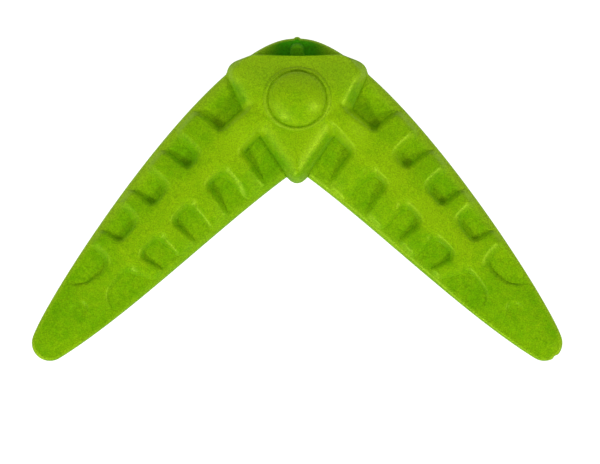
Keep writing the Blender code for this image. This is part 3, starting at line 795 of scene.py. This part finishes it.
def rubber(name):
    """Foamed rubber: fine grain, faint mottling and a dull skin."""
    material = bpy.data.materials.new(name)
    material.use_nodes = True
    nodes, links = material.node_tree.nodes, material.node_tree.links
    shader = nodes["Principled BSDF"]
    place = nodes.new("ShaderNodeTexCoord")

    def noise(scale, detail, roughness):
        node = nodes.new("ShaderNodeTexNoise")
        node.inputs["Scale"].default_value = scale
        node.inputs["Detail"].default_value = detail
        node.inputs["Roughness"].default_value = roughness
        links.new(place.outputs["Object"], node.inputs["Vector"])
        return node.outputs["Fac"]

    def share_of(tone):
        node = nodes.new("ShaderNodeAttribute")
        node.attribute_name = tone
        return node.outputs["Fac"]

    def ramp(value, low, high, dark, light):
        node = nodes.new("ShaderNodeMapRange")
        node.inputs["From Min"].default_value = low
        node.inputs["From Max"].default_value = high
        node.inputs["To Min"].default_value = dark
        node.inputs["To Max"].default_value = light
        links.new(value, node.inputs["Value"])
        return node.outputs["Result"]

    def added(first, second):
        node = nodes.new("ShaderNodeMath")
        node.operation = "ADD"
        links.new(first, node.inputs[0])
        links.new(second, node.inputs[1])
        return node.outputs["Value"]

    def mixed(share, first, second, blend_type="MIX"):
        node = nodes.new("ShaderNodeMix")
        node.data_type = "RGBA"
        node.blend_type = blend_type
        factor = next(i for i in node.inputs if i.name == "Factor" and i.type == "VALUE")
        if isinstance(share, float):
            factor.default_value = share
        else:
            links.new(share, factor)
        colours = [i for i in node.inputs if i.type == "RGBA"]
        for target, value in zip(colours, (first, second)):
            if isinstance(value, tuple):
                target.default_value = (*value, 1.0)
            else:
                links.new(value, target)
        return next(o for o in node.outputs if o.type == "RGBA")

    grain = noise(*GRAIN)
    mottle = noise(*MOTTLE)
    patches = noise(*PATCHES)
    # painted light and shade by height, shifted by the rubber's random patches and mottle
    lit_tone_and_mottle = added(share_of("lit_tone"), ramp(patches, *NOISE_RANGE, -PATCH_SHARE, PATCH_SHARE))
    lit_tone_and_mottle = added(lit_tone_and_mottle, ramp(mottle, *NOISE_RANGE, -MOTTLE_SHARE, MOTTLE_SHARE))
    # painted sheen on the rims, the hub's back and the bead
    toned = mixed(share_of("painted_sheen"), mixed(lit_tone_and_mottle, SHADED_GREEN, LIT_GREEN), PAINTED_SHEEN_GREEN)
    # painted shade in the recess behind the shield
    with_recess_shade = mixed(share_of("recess_shade"), toned, RECESS_SHADE_GREEN)
    level = nodes.new("ShaderNodeCombineColor")
    speckle = ramp(grain, *SPECKLE_RANGE, *SPECKLE)
    for channel in ("Red", "Green", "Blue"):
        links.new(speckle, level.inputs[channel])
    links.new(mixed(1.0, with_recess_shade, level.outputs["Color"], "MULTIPLY"), shader.inputs["Base Color"])
    links.new(ramp(grain, *NOISE_RANGE, *ROUGHNESS), shader.inputs["Roughness"])

    facing = nodes.new("ShaderNodeLayerWeight")
    facing.inputs["Blend"].default_value = 0.5
    sheen = ramp(facing.outputs["Facing"], *FACING_RANGE, *SHEEN)
    links.new(sheen, shader.inputs["Specular IOR Level"])
    shader.inputs["Specular Tint"].default_value = SHEEN_TINT

    bump = nodes.new("ShaderNodeBump")
    bump.inputs["Strength"].default_value = BUMP_STRENGTH
    bump.inputs["Distance"].default_value = BUMP_DISTANCE
    links.new(grain, bump.inputs["Height"])
    links.new(bump.outputs["Normal"], shader.inputs["Normal"])
    return material


# --- studio ----------------------------------------------------------------------------
FLOOR_SIZE, FLOOR_Z = 4.0, -0.0002
PAPER_GREY = 0.25
PAPER_ROUGHNESS, PAPER_SPECULAR = 0.9, 0.1
PAPER_TO_OBJECT = 1.30             # the camera sees white paper; this much light reaches the object

LIT_PLACE = (0.0, -0.03, 0.0)
LIGHT_DISTANCE = 2.2
# name, azimuth, elevation, size, power, and whether dull and shiny reflections show it
LIGHTS = (
    ("overhead", 90.0, 80.0, 1.6, 3.0, True, False),
    ("key", 225.0, 37.0, 0.25, 20.0, True, False),
    ("second", 322.0, 34.0, 0.4, 23.0, True, False),
    ("window", 75.0, 38.0, 1.2, 7.5, True, False),
    ("left_window", 204.0, 36.0, 0.9, 9.0, True, True),
    ("key_glint", 237.0, 31.0, 0.32, 16.0, False, True),
    ("second_glint", 334.0, 42.0, 0.35, 19.0, False, True),
)
SKY, SKY_IN_SHEEN = 0.28, 0.08

CAMERA_HEIGHT = 2.5
SENSOR_WIDTH = 36.0
VIEW_WIDTH, VIEW_Z = 0.2941, 0.005    # width of the picture at this height
VIEW_CENTRE = (0.0014, -0.0659)


def floor():
    bpy.ops.mesh.primitive_plane_add(size=FLOOR_SIZE, location=(0.0, 0.0, FLOOR_Z))
    sheet = bpy.context.object
    sheet.name = "studio_floor"
    material = bpy.data.materials.new("white paper")
    material.use_nodes = True
    nodes, links = material.node_tree.nodes, material.node_tree.links
    shader = nodes["Principled BSDF"]
    shader.inputs["Base Color"].default_value = (PAPER_GREY, PAPER_GREY, PAPER_GREY, 1.0)
    shader.inputs["Roughness"].default_value = PAPER_ROUGHNESS
    shader.inputs["Specular IOR Level"].default_value = PAPER_SPECULAR
    shader.inputs["Emission Color"].default_value = (1.0, 1.0, 1.0, 1.0)
    path = nodes.new("ShaderNodeLightPath")
    soft = nodes.new("ShaderNodeMath")
    soft.operation = "MULTIPLY"
    soft.inputs[1].default_value = PAPER_TO_OBJECT
    links.new(path.outputs["Is Diffuse Ray"], soft.inputs[0])
    glow = nodes.new("ShaderNodeMath")
    glow.operation = "ADD"
    links.new(path.outputs["Is Camera Ray"], glow.inputs[0])
    links.new(soft.outputs["Value"], glow.inputs[1])
    links.new(glow.outputs["Value"], shader.inputs["Emission Strength"])
    sheet.data.materials.append(material)


def softbox(name, azimuth, elevation, size, power, diffuse, glossy):
    light = bpy.data.lights.new(name, "AREA")
    light.shape = "SQUARE"
    light.size = size
    light.energy = power
    lamp = bpy.data.objects.new(name, light)
    bpy.context.scene.collection.objects.link(lamp)
    a, e = math.radians(azimuth), math.radians(elevation)
    away = Vector((math.cos(e) * math.cos(a), math.cos(e) * math.sin(a), math.sin(e)))
    lamp.location = Vector(LIT_PLACE) + LIGHT_DISTANCE * away
    lamp.rotation_euler = away.to_track_quat("Z", "Y").to_euler()
    lamp.visible_diffuse = diffuse
    lamp.visible_glossy = glossy


def studio():
    world = bpy.data.worlds.new("studio")
    bpy.context.scene.world = world
    world.use_nodes = True
    nodes, links = world.node_tree.nodes, world.node_tree.links
    path = nodes.new("ShaderNodeLightPath")
    dimmed = nodes.new("ShaderNodeMapRange")
    dimmed.inputs["To Min"].default_value = SKY
    dimmed.inputs["To Max"].default_value = SKY_IN_SHEEN
    links.new(path.outputs["Is Glossy Ray"], dimmed.inputs["Value"])
    nodes["Background"].inputs["Color"].default_value = (1.0, 1.0, 1.0, 1.0)
    links.new(dimmed.outputs["Result"], nodes["Background"].inputs["Strength"])
    for light in LIGHTS:
        softbox(*light)
    bpy.context.scene.view_settings.view_transform = "Standard"


def camera():
    data = bpy.data.cameras.new("camera")
    data.sensor_width = SENSOR_WIDTH
    data.lens = SENSOR_WIDTH * (CAMERA_HEIGHT - VIEW_Z) / VIEW_WIDTH
    view = bpy.data.objects.new("camera", data)
    bpy.context.scene.collection.objects.link(view)
    view.location = (*VIEW_CENTRE, CAMERA_HEIGHT)
    bpy.context.scene.camera = view


def main():
    wing_plate(rubber("plate rubber"))
    spine_rubber = rubber("spine rubber")
    spine(1.0, "right_spine_skin", "right_spine", spine_rubber)
    spine(-1.0, "left_spine_skin", "left_spine", spine_rubber)
    hub_shield(rubber("shield rubber"))
    hub_dome(rubber("dome rubber"))
    apex_boss(rubber("boss rubber"))
    floor()
    studio()
    camera()


main()
